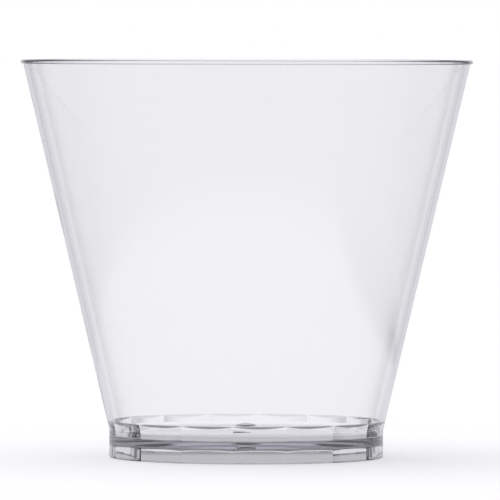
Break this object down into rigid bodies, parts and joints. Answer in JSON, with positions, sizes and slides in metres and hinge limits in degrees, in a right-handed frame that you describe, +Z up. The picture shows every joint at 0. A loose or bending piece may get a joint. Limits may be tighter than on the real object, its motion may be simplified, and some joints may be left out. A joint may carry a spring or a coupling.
{
  "type": "plastic cup",
  "caption": "Clear rigid plastic cup: tapered round wall with a small lip, a faceted well above a crowned floor, and a foot ring that holds the floor off the table.",
  "frame": {"origin": "on the cup's axis, level with the underside of the foot ring", "axes": "+Z up along the cup's axis towards the mouth; +X and +Y run through the middles of facets"},
  "size_m": [0.089, 0.089, 0.0783],
  "materials": {
    "clear_plastic": "water-clear, glossy moulded polystyrene with a faint cool grey tint"
  },
  "bodies": {
    "root": {"cup": "clear_plastic"}
  },
  "joints": []
}
